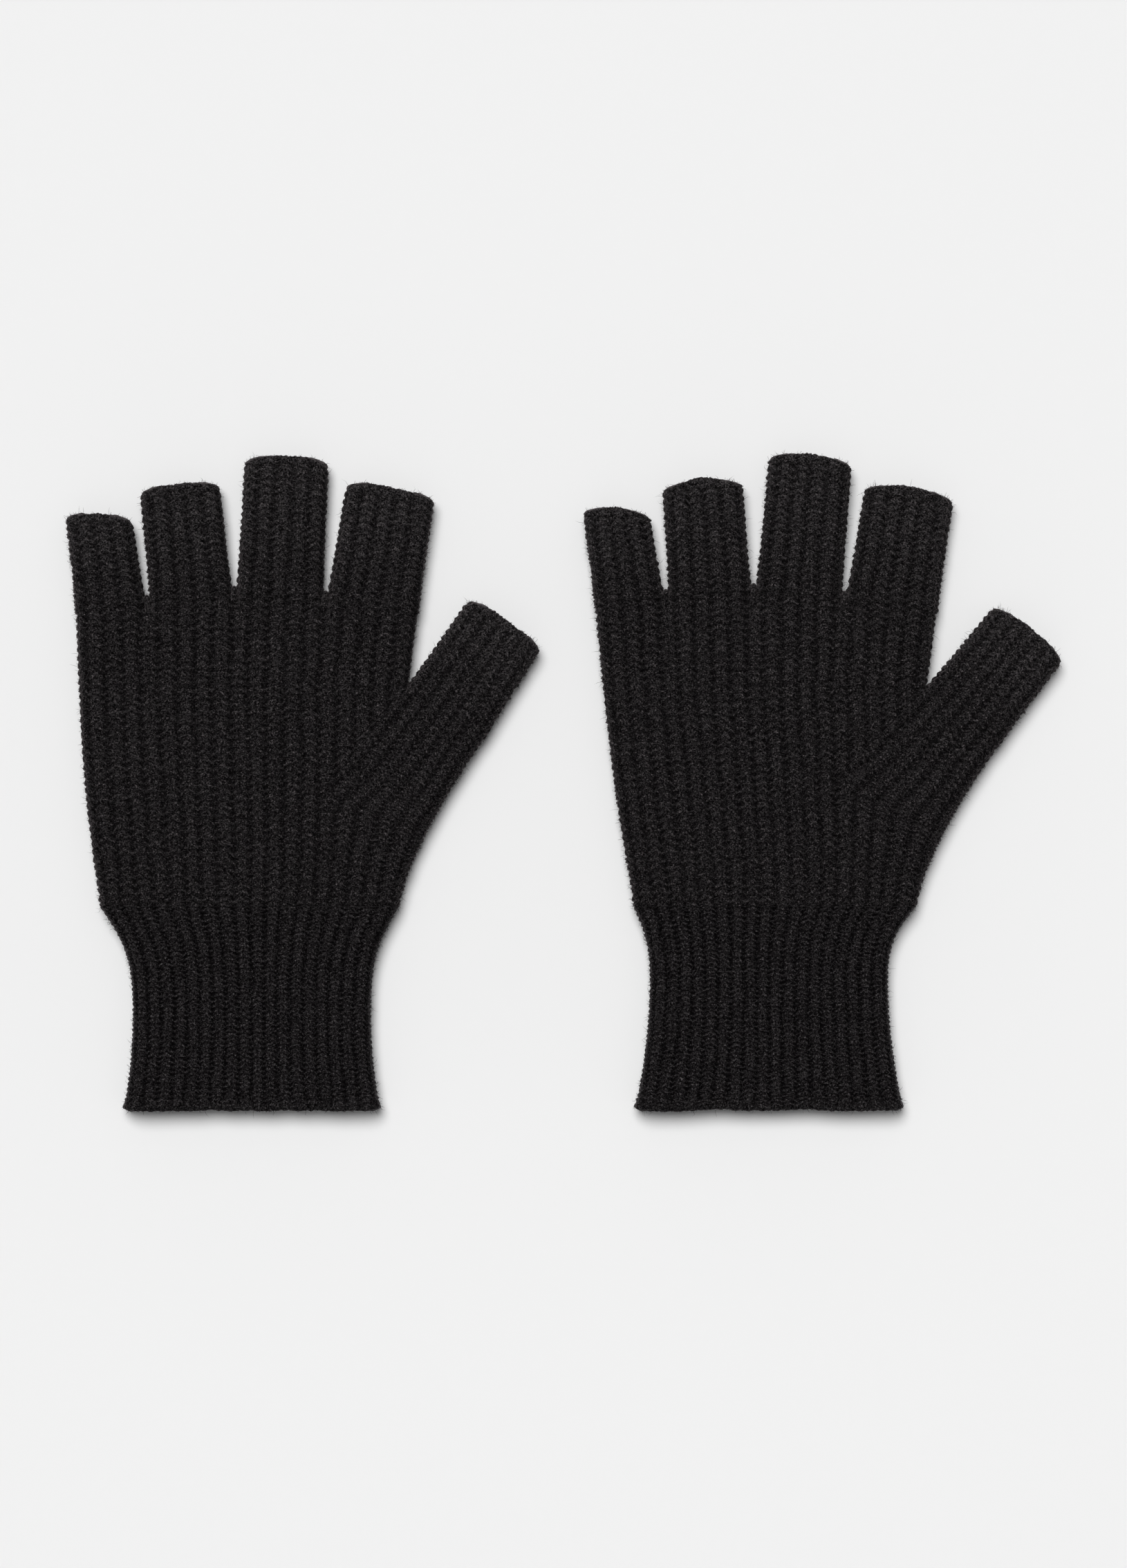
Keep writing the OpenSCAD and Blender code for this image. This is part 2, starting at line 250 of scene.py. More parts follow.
class Tube:
    """A flattened knitted tube between two side folds. ribs(x) and rows(points) set its knit."""

    def __init__(self, left, right, low, high, closed=(True, True), bow=None, sag=None):
        self.left, self.right = left, right
        self.low, self.high = low, high
        self.closed = closed
        self.bow = bow
        self.sag = sag or (lambda share, t: np.sin(math.pi * share))
        self.radius = (high - low) / 2
        spots = np.linspace(0, 1, 60)
        middle = (left(spots) + right(spots)) / 2
        self.length = np.linalg.norm(np.diff(middle, axis=0), axis=1).sum()

    def stations(self, cell):
        """The places round the tube: fold (-1, 0, 1), share of the flat, angle, layer."""
        spots = np.linspace(0, 1, 30)
        width = np.linalg.norm(self.right(spots) - self.left(spots), axis=1).max()
        flat = width - self.radius * sum(self.closed)
        flats = INNER_STEP * math.ceil(flat / cell / INNER_STEP)
        turns = INNER_STEP * math.ceil(math.pi * self.radius / cell / INNER_STEP)
        share = np.arange(flats) / flats
        angle = np.pi * np.arange(turns) / turns
        top = [(0, s, 0, 1) for s in share]
        bottom = [(0, 1 - s, 0, -1) for s in share]
        right = [(1, 1, a, 0) for a in angle]
        left = [(-1, 0, np.pi - a, 0) for a in angle]
        if all(self.closed):
            return np.array(top + right + bottom + left)
        if self.closed[0]:
            return np.array(bottom + left + top + [(0, 1, 0, 1)])
        return np.array(top + right + bottom + [(0, 0, 0, -1)])

    def spread(self, t):
        """Unrolled width of one face at t, from the middle of one fold to the other."""
        width = np.linalg.norm(self.right(t) - self.left(t), axis=-1)
        return width + self.radius * (math.pi / 2 - 1) * sum(self.closed)

    def place(self, where, t, depth, inset=0.0, squeeze=1.0):
        """Points at the stations, t along the tube and depth under its outer surface."""
        fold, share, angle, layer = where.T
        left, right = self.left(t), self.right(t)
        width = np.linalg.norm(right - left, axis=-1)
        across = (right - left) / width[..., None]
        r = self.radius
        near = inset + (r if self.closed[0] else 0.0)
        far = width - inset - (r if self.closed[1] else 0.0)
        side = np.sin(angle)
        flat = near + (far - near) * share
        x = np.where(fold == 0, flat,
                     np.where(fold > 0, far + (r - depth) * side, near - (r - depth) * side))
        lift = np.where(fold == 0, layer, np.cos(angle))
        middle = (self.low + self.high) / 2
        soft = np.clip(self.sag(np.clip(x / width, 0, 1), t), 0, 1) ** 0.7
        sag = np.where(lift > 0, SAG * soft * lift, 0.0)
        z = np.maximum(middle + (lift * (r - depth) - sag) * squeeze, 0)
        xy = left + across * x[..., None]
        if self.bow is not None:
            xy = xy + self.bow(x / width, t)
        return np.concatenate([xy, z[..., None]], axis=-1), x / width

    def proud(self, where):
        """How far the stitches stand out at each station: none where the tube lies on its underside."""
        fold, _, angle, layer = where.T
        lift = np.where(fold == 0, layer, np.cos(angle))
        return PROUD * (1 + np.minimum(lift, 0))

    def unrolled(self, where, t):
        """Distance from the middle of the left fold, along the fabric."""
        fold, share, angle, layer = where.T
        width = np.linalg.norm(self.right(t) - self.left(t), axis=-1)
        quarter = self.radius * math.pi / 2
        start = quarter if self.closed[0] else 0.0
        flat = width - self.radius * sum(self.closed)
        turn = self.radius * np.minimum(angle, math.pi - angle)
        return np.where(fold == 0, start + flat * share,
                        np.where(fold > 0, start + flat + turn, start - turn))


def grid_faces(rows, cols, wrap, start=0, flip=False):
    """Quads of a grid of points, and the grid place of each corner."""
    i, j = np.meshgrid(np.arange(cols if wrap else cols - 1), np.arange(rows - 1))
    i, j = i.ravel(), j.ravel()
    corner_i = np.stack([i, i + 1, i + 1, i], axis=1)
    corner_j = np.stack([j, j, j + 1, j + 1], axis=1)
    if flip:
        corner_i, corner_j = corner_i[:, ::-1], corner_j[:, ::-1]
    verts = start + corner_j * cols + corner_i % cols
    return verts, corner_i / (cols if wrap else cols - 1), corner_j / (rows - 1)


def rim_faces(outer, inner, flip):
    """Many-sided faces between an outer line of points and an inner one with fewer points."""
    count = len(inner) - 1
    step = (len(outer) - 1) // count
    faces, u, v = [], [], []
    for k in range(count):
        face = list(outer[k * step:(k + 1) * step + 1]) + [inner[k + 1], inner[k]]
        place = [(k + s / step) / count for s in range(step + 1)] + [(k + 1) / count, k / count]
        side = [0.0] * (step + 1) + [1.0, 1.0]
        if flip:
            face, place, side = face[::-1], place[::-1], side[::-1]
        faces.append(face)
        u.append(place)
        v.append(side)
    return np.array(faces), np.array(u), np.array(v)


def build_mesh(name, points, parts, facts, material):
    """A mesh object. parts are (faces, u, v, bake strip, flat) and facts are vertex attributes."""
    me = bpy.data.meshes.new(name)
    me.vertices.add(len(points))
    me.vertices.foreach_set("co", np.asarray(points, np.float32).ravel())
    corners = np.concatenate([p[0].ravel() for p in parts])
    sizes = np.concatenate([np.full(len(p[0]), p[0].shape[1]) for p in parts])
    me.loops.add(len(corners))
    me.loops.foreach_set("vertex_index", corners.astype(np.int32))
    me.polygons.add(len(sizes))
    starts = np.concatenate([[0], np.cumsum(sizes)[:-1]])
    me.polygons.foreach_set("loop_start", starts.astype(np.int32))
    me.polygons.foreach_set("loop_total", sizes.astype(np.int32))
    flat = np.concatenate([np.full(len(p[0]), p[4]) for p in parts])
    me.polygons.foreach_set("use_smooth", ~flat)
    me.update(calc_edges=True)
    uv = me.uv_layers.new(name="OFBake")
    u = np.concatenate([p[1].ravel() for p in parts])
    v = np.concatenate([mix(p[3][0], p[3][1], p[2]).ravel() for p in parts])
    uv.data.foreach_set("uv", np.stack([mix(0.004, 0.996, u), v], axis=1).astype(np.float32).ravel())
    for key, value in facts.items():
        kind = "FLOAT" if value.ndim == 1 else "FLOAT_VECTOR"
        attribute = me.attributes.new(key, kind, "POINT")
        field = "value" if value.ndim == 1 else "vector"
        attribute.data.foreach_set(field, value.astype(np.float32).ravel())
    me.validate()
    obj = bpy.data.objects.new(name, me)
    bpy.context.scene.collection.objects.link(obj)
    obj.data.materials.append(material)
    return obj


def knit_shell(name, tube, ribs, rows, depth, cell, material, tone, squeeze=None, groove=None):
    """A tube's knitted shell: fine relief outside, a coarser inner layer, and cut ends."""
    where = tube.stations(cell)
    wrap = all(tube.closed)
    steps = INNER_STEP * math.ceil(tube.length / cell / INNER_STEP)
    t = np.repeat(np.linspace(0, 1, steps + 1)[:, None], len(where), axis=1)
    layers = []
    for pick in (1, INNER_STEP):
        w, at = where[::pick], t[::pick, ::pick]
        tight = np.ones_like(at) if squeeze is None else squeeze(w, at)
        flat, share = tube.place(w, at, 0.0, squeeze=tight)
        x, y = flat[..., 0], flat[..., 1]
        along = tube.unrolled(w, at)
        wobble = WOBBLE * wave(x, y, WOBBLE_SIZE, 0)
        relief, yarn = stitch_relief(ribs(along, at) + wobble,
                                     rows(flat[..., :2], at, share)
                                     + ROW_WANDER * wave(x, y, ROW_WANDER_SIZE, 6))
        fuzz = FUZZ * (chance(x * 9e4, y * 9e4, w[:, 2] + w[:, 3]) - 0.5)
        if pick == 1:
            under = depth * (1 - relief) * (0.9 + 0.1 * wave(x, y, 20 * MM, 12)) + fuzz - tube.proud(w)
            if groove is not None:
                under = under + groove(w, at, along)
        else:
            under = WALL + INNER_DEPTH * relief
        points, _ = tube.place(w, at, under, squeeze=tight)
        # The inner layer's colour relief is cut to 0.4, which paints the inside of the tube darker, as
        # painted shade.
        layers.append((points, relief if pick == 1 else relief * 0.4, yarn, mix(*tone, smooth(at))))
    outer, inner = layers
    rows_out, cols_out = outer[0].shape[:2]
    rows_in, cols_in = inner[0].shape[:2]
    start = rows_out * cols_out
    out_id = np.arange(start).reshape(rows_out, cols_out)
    in_id = start + np.arange(rows_in * cols_in).reshape(rows_in, cols_in)
    if wrap:
        out_id = np.hstack([out_id, out_id[:, :1]])
        in_id = np.hstack([in_id, in_id[:, :1]])
    parts = [
        (*grid_faces(rows_out, cols_out, wrap, flip=True), (0.004, 0.80), False),
        (*grid_faces(rows_in, cols_in, wrap, start), (0.81, 0.90), False),
        (*rim_faces(out_id[0], in_id[0], False), (0.905, 0.925), True),
        (*rim_faces(out_id[-1], in_id[-1], True), (0.93, 0.95), True),
    ]
    if not wrap:
        parts.append((*rim_faces(out_id[:, 0], in_id[:, 0], True), (0.955, 0.97), True))
        parts.append((*rim_faces(out_id[:, -1], in_id[:, -1], False), (0.975, 0.995), True))
    points = np.concatenate([x[0].reshape(-1, 3) for x in layers])
    # tone grows along the tube and paints the wool lighter towards its far end, as painted light.
    facts = {"relief": np.concatenate([x[1].ravel() for x in layers]),
             "yarn": np.concatenate([x[2].reshape(-1, 3) for x in layers]),
             "tone": np.concatenate([x[3].ravel() for x in layers]),
             "rest": points}
    return build_mesh(name, points, parts, facts, material), outer[0], outer[1]


def knit_lip(name, tube, ribs, rows, depth, cell, material, tone, corner, dome=0.0):
    """The rounded edge band round an opening, at the tube's far end.

    dome is how far the opening's middle stands out past its two folds.
    """
    where = tube.stations(cell)
    steps = max(4, math.ceil(tube.length / cell))
    lip = WALL / 2
    straight = tube.length - lip
    turn = np.linspace(0, math.pi, 9)[1:-1]
    run = np.concatenate([np.linspace(0, straight, steps), straight + lip * np.sin(turn),
                          np.linspace(straight, 0, steps)])
    under = np.concatenate([np.zeros(steps), lip * (1 - np.cos(turn)), np.full(steps, WALL)])
    push_run = np.concatenate([np.zeros(steps), np.sin(turn), np.zeros(steps)])
    push_under = np.concatenate([-np.ones(steps), -np.cos(turn), np.ones(steps)])
    height = np.concatenate([np.linspace(depth, LIP_DEPTH, steps), np.full(len(turn), LIP_DEPTH),
                             np.linspace(LIP_DEPTH, INNER_DEPTH, steps)])
    rim = np.concatenate([np.linspace(0, 1, steps), np.ones(len(turn)),
                          np.linspace(1, 0, steps)])[:, None]
    t = np.repeat((run / tube.length)[:, None], len(where), axis=1)
    flat, share = tube.place(where, t, 0.0)
    along = tube.unrolled(where, t)
    x, y = flat[..., 0], flat[..., 1]
    wobble = WOBBLE * wave(x, y, WOBBLE_SIZE, 0)
    rib = ribs(along, t) + wobble
    row = rows(flat[..., :2], t, share) + ROW_WANDER * wave(x, y, ROW_WANDER_SIZE, 6)
    relief, yarn = stitch_relief(rib, row)
    chain = 0.5 + 0.5 * np.cos(2 * math.pi * (2 * rib + 0.12 * wave(x, y, 5 * MM, 3)))
    relief = mix(relief, 0.15 + 0.5 * relief + 0.35 * chain, rim)
    dip = height[:, None] * (1 - relief) - tube.proud(where)
    dip = dip + FUZZ * (chance(x * 9e4, y * 9e4, run[:, None] * 1e4) - 0.5)
    lump = LUMP * (wave(x, y, 16 * MM, 9) + 0.5 * wave(x, y, 7 * MM, 3))
    further = dome * (0.6 - (2 * share - 1) ** 2)
    plain = run[:, None] - push_run[:, None] * dip
    moved = plain + rim ** 2 * (lump + further)
    deep = under[:, None] - push_under[:, None] * dip
    left_over = np.clip(corner - (tube.length - plain), 0, corner)
    inset = corner - np.sqrt(corner * corner - left_over * left_over)
    points, _ = tube.place(where, moved / tube.length, deep, inset=inset)
    count, cols = points.shape[:2]
    ids = np.arange(count * cols).reshape(count, cols)
    back = np.stack([ids[0], np.roll(ids[0], -1), np.roll(ids[-1], -1), ids[-1]], axis=1)
    col = np.arange(cols)
    back_u = np.stack([col, col + 1, col + 1, col], axis=1) / cols
    back_v = np.tile([0.0, 0.0, 1.0, 1.0], (cols, 1))
    parts = [(*grid_faces(count, cols, True, flip=True), (0.004, 0.93), False),
             (back, back_u, back_v, (0.94, 0.995), True)]
    points_flat = points.reshape(-1, 3)
    # tone paints the edge band lighter, as painted light.
    facts = {"relief": relief.ravel(), "yarn": yarn.reshape(-1, 3),
             "tone": np.full(relief.size, tone), "rest": points_flat}
    return build_mesh(name, points_flat, parts, facts, material), points[:steps + 3], relief


def fibre_halo(name, patches, material, seed):
    """Short curved fibres standing off the knitted patches, each a thin closed spike."""
    rng = np.random.default_rng(seed)
    roots, ways = [], []
    for points in patches:
        across = np.roll(points, -1, axis=1) - points
        along = np.zeros_like(points)
        along[:-1] = points[1:] - points[:-1]
        along[-1] = along[-2]
        normal = np.cross(across, along)
        area = np.linalg.norm(normal, axis=-1)
        area = np.where(area > 4 * CELL * CELL, 0, area)
        chosen = rng.random(area.shape) < area / MM ** 2 * FIBRES_PER_MM2
        chosen &= points[..., 2] > 1.0 * MM
        roots.append(points[chosen])
        ways.append(normal[chosen] / (area[chosen][:, None] + 1e-12))
    roots, ways = np.concatenate(roots), np.concatenate(ways)
    count = len(roots)
    stray = rng.normal(0, 1, (count, 3))
    first = ways * 0.75 + stray * 0.45
    first /= np.linalg.norm(first, axis=1)[:, None]
    second = first * 0.6 + rng.normal(0, 1, (count, 3)) * 0.55
    second /= np.linalg.norm(second, axis=1)[:, None]
    length = FIBRE_LENGTH * (0.35 + rng.exponential(0.55, count)).clip(0.3, 2.4)[:, None]
    line = [roots - ways * 0.1 * MM, roots + first * length * 0.5,
            roots + first * length * 0.5 + second * length * 0.5]
    side = np.cross(first, stray)
    side /= np.linalg.norm(side, axis=1)[:, None]
    other = np.cross(first, side)
    ring = []
    for k, size in ((0, 1.0), (1, 0.8)):
        for turn in range(3):
            angle = turn * 2 * math.pi / 3
            ring.append(line[k] + (side * math.cos(angle) + other * math.sin(angle))
                        * FIBRE_RADIUS * size)
    points = np.stack(ring + [line[2]], axis=1).reshape(-1, 3)
    points[:, 2] = np.maximum(points[:, 2], 0.15 * MM)
    base = (np.arange(count) * 7)[:, None]
    quads = np.concatenate([base + np.array([[k, (k + 1) % 3, 3 + (k + 1) % 3, 3 + k]])
                            for k in range(3)])
    tips = np.concatenate([base + np.array([[3 + k, 3 + (k + 1) % 3, 6]]) for k in range(3)])
    root = base + np.array([[2, 1, 0]])
    side_cells = math.ceil(math.sqrt(count))
    cell_u = (np.arange(count) % side_cells) / side_cells
    cell_v = (np.arange(count) // side_cells) / side_cells
    size = 0.9 / side_cells
    spots = np.array([[0, 0], [0.3, 0], [0.6, 0], [0, 0.5], [0.3, 0.5], [0.6, 0.5], [0.3, 1]])
    spot_u = (cell_u[:, None] + size * spots[:, 0]).ravel()
    spot_v = (cell_v[:, None] + size * spots[:, 1]).ravel()
    parts = [(f, spot_u[f], spot_v[f], (0.0, 1.0), False) for f in (quads, tips, root)]
    return build_mesh(name, points, parts, {"rest": points}, material)


# ---- materials ----
def node(tree, kind, **values):
    made = tree.nodes.new(kind)
    for key, value in values.items():
        if key in made.inputs:
            made.inputs[key].default_value = value
        else:
            setattr(made, key, value)
    return made


def attribute_of(tree, name):
    made = tree.nodes.new("ShaderNodeAttribute")
    made.attribute_name = name
    return made


def wool(name, gap, top, painted_highlight, low=0.2):
    """Near-black brushed wool with a speckle of loose fibres. The gaps between stitches are painted darker
    than the lighter stitches as painted shade, surfaces turned away from the view get a painted rim light,
    bright flecks on the stitches are painted highlights, and the tone attribute paints the wool lighter as
    painted light.
    """
    material = bpy.data.materials.new(name)
    material.use_nodes = True
    tree = material.node_tree
    link = tree.links.new
    shader = tree.nodes["Principled BSDF"]
    shader.inputs["Roughness"].default_value = 0.9
    shader.inputs["Specular IOR Level"].default_value = 0.0
    shader.inputs["Sheen Weight"].default_value = 0.03
    shader.inputs["Sheen Roughness"].default_value = 0.4
    shader.inputs["Sheen Tint"].default_value = (0.8, 0.77, 0.77, 1)
    rest = attribute_of(tree, "rest")
    yarn = attribute_of(tree, "yarn")
    relief = attribute_of(tree, "relief")
    tone = attribute_of(tree, "tone")

    def noise(source, scale, detail, rough):
        made = node(tree, "ShaderNodeTexNoise", Scale=scale, Detail=detail, Roughness=rough)
        link(source, made.inputs["Vector"])
        return made.outputs["Fac"]

    def spread(source, low, high, top=1.0, bottom=0.0):
        made = node(tree, "ShaderNodeMapRange")
        link(source, made.inputs["Value"])
        for key, value in (("From Min", low), ("From Max", high), ("To Min", bottom), ("To Max", top)):
            made.inputs[key].default_value = value
        return made.outputs["Result"]

    def maths(operation, first, second):
        made = node(tree, "ShaderNodeMath", operation=operation)
        for socket, value in zip(made.inputs, (first, second)):
            if isinstance(value, float):
                socket.default_value = value
            else:
                link(value, socket)
        return made.outputs[0]

    def colours(factor, first, second):
        made = node(tree, "ShaderNodeMix", data_type="RGBA")
        link(factor, made.inputs["Factor"])
        for socket, value in ((made.inputs[6], first), (made.inputs[7], second)):
            if isinstance(value, tuple):
                socket.default_value = (*value, 1)
            else:
                link(value, socket)
        return made.outputs[2]

    turned = node(tree, "ShaderNodeMapping")
    turned.inputs["Scale"].default_value = (3.5, 9.0, 5.0)
    turned.inputs["Rotation"].default_value = (0, 0, math.radians(38))
    link(yarn.outputs["Vector"], turned.inputs["Vector"])
    strand = noise(turned.outputs["Vector"], 1.0, 2.0, 0.6)
    mottle = noise(rest.outputs["Vector"], 330.0, 3.0, 0.6)
    speckle = noise(rest.outputs["Vector"], 1500.0, 3.0, 0.8)
    fleck = noise(rest.outputs["Vector"], 2100.0, 3.0, 0.8)
    grain = maths("ADD", maths("MULTIPLY", strand, 0.2),
                  maths("ADD", maths("MULTIPLY", speckle, 0.3), maths("MULTIPLY", fleck, 0.5)))
    # Painted shade: the colour falls from the stitch tops towards the gap colour in the gaps between
    # stitches, and low sets how dark the gaps are painted.
    stitches = spread(relief.outputs["Fac"], 0.0, 0.85, bottom=low)
    lightness = maths("MULTIPLY", stitches, spread(grain, 0.461, 0.591))
    lightness = maths("MULTIPLY", lightness, spread(mottle, 0.3, 0.7, top=1.2, bottom=0.75))
    # Painted light: the tone attribute makes the wool up to 1.7 times lighter, most at the fingertips.
    lightness = maths("MULTIPLY", lightness, spread(tone.outputs["Fac"], 0.0, 1.0, top=1.7, bottom=1.0))
    yarn_colour = colours(lightness, gap, top)
    # Painted rim light: where the surface turns away from the view, the colour is pushed in patches towards
    # the painted highlight colour, standing for sheen and light bounced onto the folds.
    facing = node(tree, "ShaderNodeLayerWeight", Blend=0.5).outputs["Facing"]
    rim = maths("MULTIPLY", spread(facing, 0.4, 0.95, top=0.75), spread(speckle, 0.4, 0.6, bottom=0.3))
    # Painted highlights: bright flecks on the stitch tops are added to the painted rim light and mixed
    # towards the same highlight colour.
    painted_rim_light_and_glints = maths("ADD", rim, maths("MULTIPLY", spread(fleck, 0.59, 0.72), stitches))
    link(colours(painted_rim_light_and_glints, yarn_colour, painted_highlight), shader.inputs["Base Color"])
    bump = node(tree, "ShaderNodeBump", Strength=0.9, Distance=0.35 * MM)
    link(grain, bump.inputs["Height"])
    link(bump.outputs["Normal"], shader.inputs["Normal"])
    return material


def fibre_material(name, colour):
    material = bpy.data.materials.new(name)
    material.use_nodes = True
    tree = material.node_tree
    shader = tree.nodes["Principled BSDF"]
    shader.inputs["Roughness"].default_value = 0.8
    shader.inputs["Specular IOR Level"].default_value = 0.2
    rest = attribute_of(tree, "rest")
    noise = node(tree, "ShaderNodeTexNoise", Scale=180.0, Detail=2.0)
    tree.links.new(rest.outputs["Vector"], noise.inputs["Vector"])
    tone = node(tree, "ShaderNodeMix", data_type="RGBA")
    tone.inputs["A"].default_value = (*[c * 0.6 for c in colour], 1)
    tone.inputs["B"].default_value = (*[c * 1.6 for c in colour], 1)
    tree.links.new(noise.outputs["Fac"], tone.inputs["Factor"])
    tree.links.new(tone.outputs["Result"], shader.inputs["Base Color"])
    return material


# Wool colours: the gap colour is the dark end, reached in the gaps as painted shade and in dark fibres of
# the grain; the top colour is the yarn on the stitches; the third colour is a painted highlight for the rim
# light and the glints.
HAND_WOOL = wool("hand_wool", (0.0016, 0.0014, 0.0015), (0.0445, 0.0412, 0.0422), (0.18, 0.156, 0.161))
CUFF_WOOL = wool("cuff_wool", (0.0014, 0.0012, 0.0013), (0.0445, 0.0408, 0.0419), (0.17, 0.156, 0.161), 0.04)
FIBRE = fibre_material("loose_fibre", (0.04, 0.037, 0.038))


# ---- one glove ----
def stall_part(side, finger, hand_rib, hand_row, slope):
    """A stall with its edge band. hand_rib and slope carry the hand's ribs on into it."""
    joint = JOINTS[f"{side}_{finger}_fold"]
    root = np.array(joint["pos_m"][:2])
    across = np.array(joint["axis"][:2])
    along = np.array([-across[1], across[0]])
    low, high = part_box(f"{side}_{finger}_stall")
    stall_left, stall_right = folds(f"{side}_{finger}_stall", along, across)
    edge_left, edge_right = folds(f"{side}_{finger}_edge", along, across)
    gap = [float(np.dot(line[0] - root, along)) for line in (stall_left, stall_right)]

    def flare(t):
        """How much further out a fold stands, widest at the root."""
        return ROOT_FLARE * np.clip(1 - 2 * np.asarray(t), 0, 1) ** 2

    tube = Tube(swollen(rail(longer(stall_left, near=gap[0])), -across, flare),
                swollen(rail(longer(stall_right, near=gap[1])), across, flare),
                low[2], high[2],
                sag=lambda share, t: np.sin(math.pi * share) * STALL_SAG * smooth(2 * t))
    edge = Tube(rail(edge_left), rail(edge_right),
                low[2], high[2], sag=lambda share, t: np.sin(math.pi * share) * STALL_SAG)
    quarter = tube.radius * math.pi / 2
    first_rib = hand_rib(tube.left(0.0) + tube.radius * across)
    start_row = hand_row(root)
    count = slope * (tube.spread(0.0) - 2 * quarter)

    def ribs(length):
        def at(x, t):
            spread = length.spread(t)
            flat = spread - 2 * quarter
            inside = (x - quarter) / flat * count
            left_turn = (x - quarter) * slope
            right_turn = count + (x - quarter - flat) * slope
            return first_rib + np.where(x < quarter, left_turn,
                                        np.where(x > quarter + flat, right_turn, inside))
        return at

    def rows(points, t, share):
        run = (points - root) @ along
        own = start_row + run / FINGER_ROW
        return mix(hand_row(points), own, smooth(run / (12 * MM)))

    name = f"{side}_{finger}"
    stall, top, _ = knit_shell(f"{name}_stall_knit", tube, ribs(tube), rows, HAND_DEPTH, CELL,
                               HAND_WOOL, (HAND_PAINTED_LIGHT, TIP_PAINTED_LIGHT))
    band, lip_top, _ = knit_lip(f"{name}_edge_knit", edge, ribs(edge), rows, HAND_DEPTH, CELL,
                                HAND_WOOL, TIP_PAINTED_LIGHT, CORNER, TIP_DOME[side])
    halo = fibre_halo(f"{name}_fibres", [top, lip_top], FIBRE, seed=hash_of(name))
    for piece in (stall, halo):
        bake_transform(piece)
    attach(band, name)
    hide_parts(f"{name}_stall")
    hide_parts(f"{name}_edge")


def hash_of(name):
    """A fixed seed for a piece name."""
    return sum((k + 1) * ord(c) for k, c in enumerate(name))


